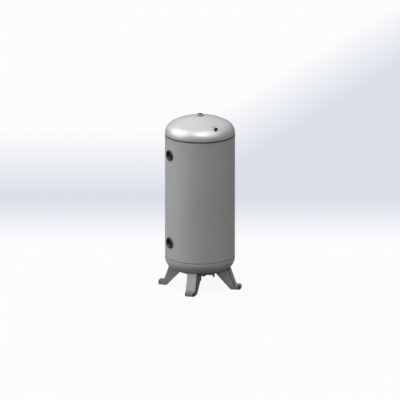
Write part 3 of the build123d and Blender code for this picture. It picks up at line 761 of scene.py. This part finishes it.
def leg_bead(leg, seed):
    """Fillet bead in the corner between a leg's outer skin and the bottom head."""
    host_tree = node_tree("bottom_head")
    leg_tree = node_tree(leg)
    path = even_steps(weld_root(leg, leg_tree, host_tree), RIPPLE_SPACING / STEPS_PER_RIPPLE)
    forward = unit(smoothed(np.gradient(path, axis=0), 2 * STEPS_PER_RIPPLE + 1))
    toe_a, toe_b = [], []
    for point, ahead in zip(path, forward):
        host_normal = np.array(host_tree.find_nearest(Vector(point))[1])
        away = unit(np.cross(host_normal, ahead))
        beside = Vector(point + away * 1 * MM + host_normal * 3 * MM)
        leg_normal = np.array(leg_tree.find_nearest(beside)[1])
        down = unit(host_normal - leg_normal * host_normal.dot(leg_normal))
        toe_a.append(away)
        toe_b.append(down)
    toe_a = smoothed(np.array(toe_a), 2 * STEPS_PER_RIPPLE + 1) * LEG_BEAD_LEG
    toe_b = smoothed(np.array(toe_b), 2 * STEPS_PER_RIPPLE + 1) * LEG_BEAD_LEG
    name = leg + "_bead"
    piece = bead(name, path, False, toe_a, toe_b, LEG_BEAD_BULGE, 0.35 * MM, [shaded_leg_weld_paint], seed)
    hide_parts(leg + "_weld")


for seed, leg in enumerate(("leg_front_left", "leg_front_right", "leg_rear_right", "leg_rear_left")):
    leg_bead(leg, 61.0 + seed)

# ================================================================ data plate, bracket and rivets
BRACKET_BEND = 4.0 * MM
BRACKET_SHEET = 2.0 * MM
BRACKET_EDGE = 0.3 * MM
BRACKET_BEND_STEPS = 8
BRACKET_BEAD_LEG = 3.5 * MM
BRACKET_BEAD_INSET = 4.0 * MM
RIVET_SPACING = 84.0 * MM
RIVET_SHANK_RADIUS = 1.6 * MM
RIVET_TAIL_RADIUS = 2.6 * MM
RIVET_HOLE_RADIUS = 1.2 * MM
RIVET_SEGMENTS = 40
RIVET_HEAD = [  # radius and height of points on the head, as parts of its own
    (0.0, 0.45),
    (0.35, 0.45),
    (0.42, 0.80),
    (0.5, 0.97),
    (0.7, 0.86),
    (0.88, 0.6),
    (1.0, 0.22),
]
PLATE_CORNER = 4.0 * MM
PLATE_COLUMNS = 241
PLATE_ROWS = 167
PLATE_FACE_DROP = 0.1 * MM  # of the plain face, below the CAD plate's face
PLATE_EDGE_ROUND = 0.25 * MM
BORDER_INSET = 1.6 * MM
BORDER_HALF_WIDTH = 0.8 * MM
BORDER_HEIGHT = 0.35 * MM
FIELD_INSET = 10.0 * MM  # from the plate's ends to the ruled fields
RULE_HALF_WIDTH = 0.6 * MM
RULE_HEIGHT = 0.28 * MM
RULE_LEVELS = [k * 9 * MM for k in (-3, -2, -1, 0, 1)]
RULE_OFFSETS = [-12 * MM, 16 * MM]
HEADER_LOW = 14.0 * MM
HEADER_HIGH = 24.0 * MM
HEADER_DEPTH = 0.10 * MM


def bracket_line(half_width, face, bend):
    """Half-section line of the bracket in plan: up one flange, across the face and down."""
    points = [(-half_width, math.sqrt(SHELL_RADIUS**2 - half_width**2) - 0.2 * MM)]
    for side in (-1, 1):
        for k in range(BRACKET_BEND_STEPS + 1):
            turned = 90 * k / BRACKET_BEND_STEPS
            angle = math.radians(180 - turned if side < 0 else 90 - turned)
            y = side * (half_width - bend) + bend * math.cos(angle)
            points.append((y, face - bend + bend * math.sin(angle)))
    points.append((half_width, points[0][1]))
    return points


def folded_bracket():
    """Channel of bent sheet that holds the data plate off the shell."""
    low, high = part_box("plate_bracket")
    half = (high.y - low.y) / 2
    outer = bracket_line(half, high.x, BRACKET_BEND)
    inner = bracket_line(half - BRACKET_SHEET, high.x - BRACKET_SHEET, BRACKET_BEND - BRACKET_SHEET)
    levels = [
        (low.z, BRACKET_EDGE),
        (low.z + BRACKET_EDGE, 0.0),
        (high.z - BRACKET_EDGE, 0.0),
        (high.z, BRACKET_EDGE),
    ]
    points = []
    for height, inset in levels:
        share = inset / BRACKET_SHEET
        for a, b in zip(outer, inner):
            points.append((a[1] + (b[1] - a[1]) * share, a[0] + (b[0] - a[0]) * share, height))
        for a, b in zip(outer[::-1], inner[::-1]):
            points.append((b[1] + (a[1] - b[1]) * share, b[0] + (a[0] - b[0]) * share, height))
    count = len(outer)
    columns = 2 * count
    faces = grid_faces(len(levels), columns, False, True)
    for level, flip in ((0, False), (len(levels) - 1, True)):
        start = level * columns
        for k in range(count - 1):
            quad = (start + k, start + columns - 1 - k, start + columns - 2 - k, start + k + 1)
            faces.append(quad[::-1] if flip else quad)
    piece = make_object("folded_plate_bracket", points, faces, [paint], smooth=False)
    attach(piece, VESSEL)
    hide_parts("plate_bracket")


def bracket_beads():
    """Two short fillet beads that hold the bracket's flanges on the shell."""
    low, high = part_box("plate_bracket")
    half = (high.y - low.y) / 2
    first = low.z + BRACKET_BEAD_INSET
    last = high.z - BRACKET_BEAD_INSET
    for side, name in ((-1, "bracket_bead_left"), (1, "bracket_bead_right")):
        steps = int((last - first) / RIPPLE_SPACING) * STEPS_PER_RIPPLE
        heights = np.linspace(first, last, steps)
        angle = math.asin(half / SHELL_RADIUS)
        foot = np.array((SHELL_RADIUS * math.cos(angle), side * half, 0.0))
        path = foot + np.outer(heights, (0, 0, 1))
        along_shell = np.array((-math.sin(angle), side * math.cos(angle), 0.0))
        toe_a = np.tile(along_shell * BRACKET_BEAD_LEG, (steps, 1))
        toe_b = np.tile(np.array((1.0, 0.0, 0.0)) * BRACKET_BEAD_LEG, (steps, 1))
        bead(name, path, False, toe_a, toe_b, 0.5 * MM, 0.3 * MM, [paint_weld], 71.0 + side)


def ridge(distance, half_width):
    """1 on the middle of a raised line and 0 beyond its half width, with sloping sides."""
    return np.clip(2 * (1 - distance / half_width), 0, 1)


def header_band(y, z, half_y):
    """1 inside the etched header field of the data plate and 0 outside it."""
    across = np.clip((half_y - FIELD_INSET - np.abs(y)) / RULE_HALF_WIDTH, 0, 1)
    return across * np.clip(np.minimum(z - HEADER_LOW, HEADER_HIGH - z) / RULE_HALF_WIDTH, 0, 1)


def plate_relief(y, z, half_y, half_z):
    """Height of the blank plate's stamped pattern: a border, a header and empty ruled fields."""
    from_edge = np.minimum(half_y - np.abs(y), half_z - np.abs(z))
    relief = BORDER_HEIGHT * ridge(np.abs(from_edge - BORDER_INSET), BORDER_HALF_WIDTH)
    field_half_y = half_y - FIELD_INSET
    across = np.clip((field_half_y - np.abs(y)) / RULE_HALF_WIDTH + 1, 0, 1)
    for level in RULE_LEVELS:
        line = ridge(np.abs(z - level), RULE_HALF_WIDTH) * across
        relief = np.maximum(relief, RULE_HEIGHT * line)
    middle = (RULE_LEVELS[0] + RULE_LEVELS[-1]) / 2
    field_half_z = (RULE_LEVELS[-1] - RULE_LEVELS[0]) / 2
    upright = np.clip((field_half_z - np.abs(z - middle)) / RULE_HALF_WIDTH + 1, 0, 1)
    for offset in (-field_half_y, *RULE_OFFSETS, field_half_y):
        line = ridge(np.abs(y - offset), RULE_HALF_WIDTH) * upright
        relief = np.maximum(relief, RULE_HEIGHT * line)
    return relief - HEADER_DEPTH * header_band(y, z, half_y)


def blank_data_plate():
    """Stamped aluminium plate with empty fields and no lettering."""
    low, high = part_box("data_plate")
    centre = (low + high) / 2
    half_y = (high.y - low.y) / 2
    half_z = (high.z - low.z) / 2
    y, z = np.meshgrid(
        np.linspace(-half_y, half_y, PLATE_COLUMNS), np.linspace(-half_z, half_z, PLATE_ROWS)
    )
    relief = plate_relief(y, z, half_y, half_z)
    header = header_band(y, z, half_y) > 0
    a = (np.abs(y) - (half_y - PLATE_CORNER)) / PLATE_CORNER
    b = (np.abs(z) - (half_z - PLATE_CORNER)) / PLATE_CORNER
    corner = (a > 0) & (b > 0)
    round_y = half_y - PLATE_CORNER + PLATE_CORNER * a * np.sqrt(np.clip(1 - b * b / 2, 0, 1))
    round_z = half_z - PLATE_CORNER + PLATE_CORNER * b * np.sqrt(np.clip(1 - a * a / 2, 0, 1))
    y = np.where(corner, np.sign(y) * round_y, y)
    z = np.where(corner, np.sign(z) * round_z, z)
    edge = np.zeros_like(y, bool)
    edge[0, :] = edge[-1, :] = edge[:, 0] = edge[:, -1] = True
    front = high.x - PLATE_FACE_DROP + relief - np.where(edge, PLATE_EDGE_ROUND, 0)
    front_points = np.stack([front, y + centre.y, z + centre.z], axis=-1).reshape(-1, 3)
    faces = grid_faces(PLATE_ROWS, PLATE_COLUMNS, False, False)
    slots = [int(header.flat[face[0]] and header.flat[face[2]]) for face in faces]
    rim = list(range(PLATE_COLUMNS))
    rim += [r * PLATE_COLUMNS + PLATE_COLUMNS - 1 for r in range(1, PLATE_ROWS)]
    rim += [(PLATE_ROWS - 1) * PLATE_COLUMNS + c for c in range(PLATE_COLUMNS - 2, -1, -1)]
    rim += [r * PLATE_COLUMNS for r in range(PLATE_ROWS - 2, 0, -1)]
    back_points = front_points[rim].copy()
    back_points[:, 0] = low.x
    count = len(front_points)
    for i, start in enumerate(rim):
        j = (i + 1) % len(rim)
        faces.append((start, count + i, count + j, rim[j]))
    faces.append(tuple(count + i for i in reversed(range(len(rim)))))
    slots += [0] * (len(rim) + 1)
    points = np.concatenate([front_points, back_points])
    piece = make_object("stamped_data_plate", points, faces, [aluminium, etched], slots)
    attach(piece, VESSEL)
    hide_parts("data_plate")


def domed_rivets():
    """Four blind rivets with domed heads, flanged ends and a pulled stem hole."""
    low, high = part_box("plate_rivets")
    plate_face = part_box("data_plate")[1].x
    head_radius = (high.y - low.y - RIVET_SPACING) / 2
    head_height = high.x - plate_face
    outline = [(head_radius * r, plate_face + head_height * h) for r, h in RIVET_HEAD]
    outline += [
        (head_radius, plate_face - 0.15 * MM),
        (RIVET_SHANK_RADIUS, plate_face - 0.25 * MM),
        (RIVET_SHANK_RADIUS, low.x + 1.2 * MM),
        (RIVET_TAIL_RADIUS, low.x + 0.8 * MM),
        (RIVET_TAIL_RADIUS, low.x + 0.3 * MM),
        (RIVET_HOLE_RADIUS, low.x),
        (0.0, low.x),
    ]
    points, faces = [], []
    for y in (low.y + head_radius, high.y - head_radius):
        for z in (low.z + head_radius, high.z - head_radius):
            start = len(points)
            for radius, x in outline:
                for k in range(RIVET_SEGMENTS):
                    angle = 2 * math.pi * k / RIVET_SEGMENTS
                    points.append((x, y + radius * math.cos(angle), z + radius * math.sin(angle)))
            for face in grid_faces(len(outline), RIVET_SEGMENTS, False, True):
                faces.append(tuple(start + i for i in face[::-1]))
    piece = make_object("domed_rivets", points, faces, [aluminium])
    merge_close(piece)
    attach(piece, VESSEL)
    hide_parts("plate_rivets")


folded_bracket()
bracket_beads()
blank_data_plate()
domed_rivets()

# ================================================================ stage, lights and camera
AIM_HEIGHT = 0.6466  # the point of the vessel's axis in the middle of the picture
PICTURE_WIDTH = 2.905  # metres across the picture at the vessel
VIEW_AZIMUTH = -30.3
VIEW_ELEVATION = 15.0
LENS = 1000.0  # a very long lens, because the view is nearly parallel
SENSOR = 36.0
FLOOR_WHITE = (0.975, 0.975, 0.98)
FLOOR_SHADED = 0.03  # part of the floor's brightness that shadows can take away
FLOOR_BOUNCE = (0.10, 0.10, 0.10)  # what the floor sends up to the vessel
BAND_COLOUR = (0.70, 0.735, 0.82)
BAND_START = 1.2  # metres behind the vessel where the band begins
BAND_END = 2.5
BAND_NEAR_FADE = 1.3  # widths of its soft edges
BAND_FAR_FADE = 2.0
BAND_TURN = 0.1  # to the right of this the far edge runs backwards
BAND_SLANT = 2.4
FLOOR_HALF_SIZE = 14.0
ZENITH_STRENGTH = 1.06  # of the surround overhead; it is dark at the horizon
LAMPS = [  # name, degrees right of the view, elevation, strength, spread, what it does
    ("left_key", -84, 38, 1.44, 38, "colour"),
    ("left_low", -90, 5, 0.45, 30, "colour"),
    ("overhead_key", 2, 71, 2.16, 34, "colour"),
    ("back_left", -135, 25, 2.0, 30, "colour"),
    ("back_fill", 175, 12, 1.2, 20, "colour"),
    ("left_shine", -84, 32, 3.4, 60, "shine"),
    ("front_shine", 2, 50, 1.6, 34, "shine"),
    ("right_shine", 40, 50, 2.2, 60, "shine"),
    ("leg_fill", -15, 0, 0.8, 20, "legs"),
]


def direction(azimuth, elevation):
    """Unit vector towards a viewer at an azimuth and elevation, azimuth 0 on the -Y side."""
    a, e = math.radians(azimuth), math.radians(elevation)
    return Vector((math.sin(a) * math.cos(e), -math.cos(a) * math.cos(e), math.sin(e)))


def add_camera():
    """Camera at the picture's viewing angle, aimed at the vessel's axis."""
    data = bpy.data.cameras.new("camera")
    data.lens = LENS
    data.sensor_width = SENSOR
    distance = PICTURE_WIDTH * LENS / SENSOR
    data.clip_start = distance * 0.1
    data.clip_end = distance * 4
    camera = bpy.data.objects.new("camera", data)
    bpy.context.scene.collection.objects.link(camera)
    towards = direction(VIEW_AZIMUTH, VIEW_ELEVATION)
    camera.location = Vector((0, 0, AIM_HEIGHT)) + towards * distance
    camera.rotation_mode = "QUATERNION"
    camera.rotation_quaternion = (-towards).to_track_quat("-Z", "Y")
    bpy.context.scene.camera = camera


def add_lamp(name, right_of_view, elevation, strength, spread, task):
    """Soft sun lamp that gives only colour, only highlights, or a shadowless fill on the legs."""
    data = bpy.data.lights.new(name, "SUN")
    data.energy = strength
    data.angle = math.radians(spread)
    lamp = bpy.data.objects.new(name, data)
    bpy.context.scene.collection.objects.link(lamp)
    towards = direction(VIEW_AZIMUTH + right_of_view, elevation)
    lamp.rotation_mode = "QUATERNION"
    lamp.rotation_quaternion = towards.to_track_quat("Z", "Y")
    lamp.visible_glossy = task == "shine"
    lamp.visible_diffuse = task != "shine"
    if task == "legs":
        data.use_shadow = False
        lit = bpy.data.collections.new("lit_by_" + name)
        for node, piece in frame["nodes"].items():
            if node.startswith("leg_"):
                lit.objects.link(piece)
        lamp.light_linking.receiver_collection = lit


def add_world(horizon, zenith):
    """Soft studio surround whose brightness changes evenly from the horizon up."""
    world = bpy.data.worlds.new("studio")
    world.use_nodes = True
    nodes, links = world.node_tree.nodes, world.node_tree.links
    background = nodes["Background"]
    coordinate = nodes.new("ShaderNodeTexCoord")
    split = nodes.new("ShaderNodeSeparateXYZ")
    links.new(coordinate.outputs["Generated"], split.inputs[0])
    brightness = nodes.new("ShaderNodeMapRange")
    brightness.inputs["To Min"].default_value = horizon
    brightness.inputs["To Max"].default_value = zenith
    links.new(split.outputs["Z"], brightness.inputs["Value"])
    links.new(brightness.outputs["Result"], background.inputs["Strength"])
    background.inputs["Color"].default_value = (1, 1, 1, 1)
    bpy.context.scene.world = world


def add_floor():
    """Pale floor: near white round the vessel, with a faint cool band far behind it."""
    half = FLOOR_HALF_SIZE
    corners = [(-half, -half, 0), (half, -half, 0), (half, half, 0), (-half, half, 0)]
    s = Shader("studio_floor")
    behind = s.along(-direction(VIEW_AZIMUTH, 0))
    right = s.along(direction(VIEW_AZIMUTH + 90, 0))
    near_edge = s.remap(behind, BAND_START, BAND_START + BAND_NEAR_FADE)
    slant = s.math("MULTIPLY", s.math("MAXIMUM", s.math("ADD", right, BAND_TURN), 0.0), BAND_SLANT)
    past = s.math("SUBTRACT", behind, slant)
    far_edge = s.remap(past, BAND_END + BAND_FAR_FADE, BAND_END)
    tint = s.mix(s.math("MULTIPLY", near_edge, far_edge), FLOOR_WHITE, BAND_COLOUR)
    glow = s.nodes.new("ShaderNodeEmission")
    s.links.new(tint, glow.inputs["Color"])
    glow.inputs["Strength"].default_value = 1.0 - FLOOR_SHADED
    s.set(Base_Color=tint, Roughness=0.9, Specular_IOR_Level=0.0)
    lit = s.nodes.new("ShaderNodeMixShader")
    lit.inputs["Fac"].default_value = FLOOR_SHADED
    s.links.new(glow.outputs["Emission"], lit.inputs[1])
    s.links.new(s.surface.outputs["BSDF"], lit.inputs[2])
    bounce = s.nodes.new("ShaderNodeBsdfDiffuse")
    bounce.inputs["Color"].default_value = (*FLOOR_BOUNCE, 1)
    rays = s.nodes.new("ShaderNodeLightPath")
    choose = s.nodes.new("ShaderNodeMixShader")
    s.links.new(rays.outputs["Is Camera Ray"], choose.inputs["Fac"])
    s.links.new(bounce.outputs["BSDF"], choose.inputs[1])
    s.links.new(lit.outputs["Shader"], choose.inputs[2])
    s.links.new(choose.outputs["Shader"], s.nodes["Material Output"].inputs["Surface"])
    floor = make_object("studio_floor", corners, [(0, 1, 2, 3)], [s.material], smooth=False)


bpy.context.scene.view_settings.view_transform = "Standard"
bpy.context.scene.view_settings.look = "None"
add_floor()
add_world(horizon=0.0, zenith=ZENITH_STRENGTH)
for lamp_row in LAMPS:
    add_lamp(*lamp_row)
add_camera()
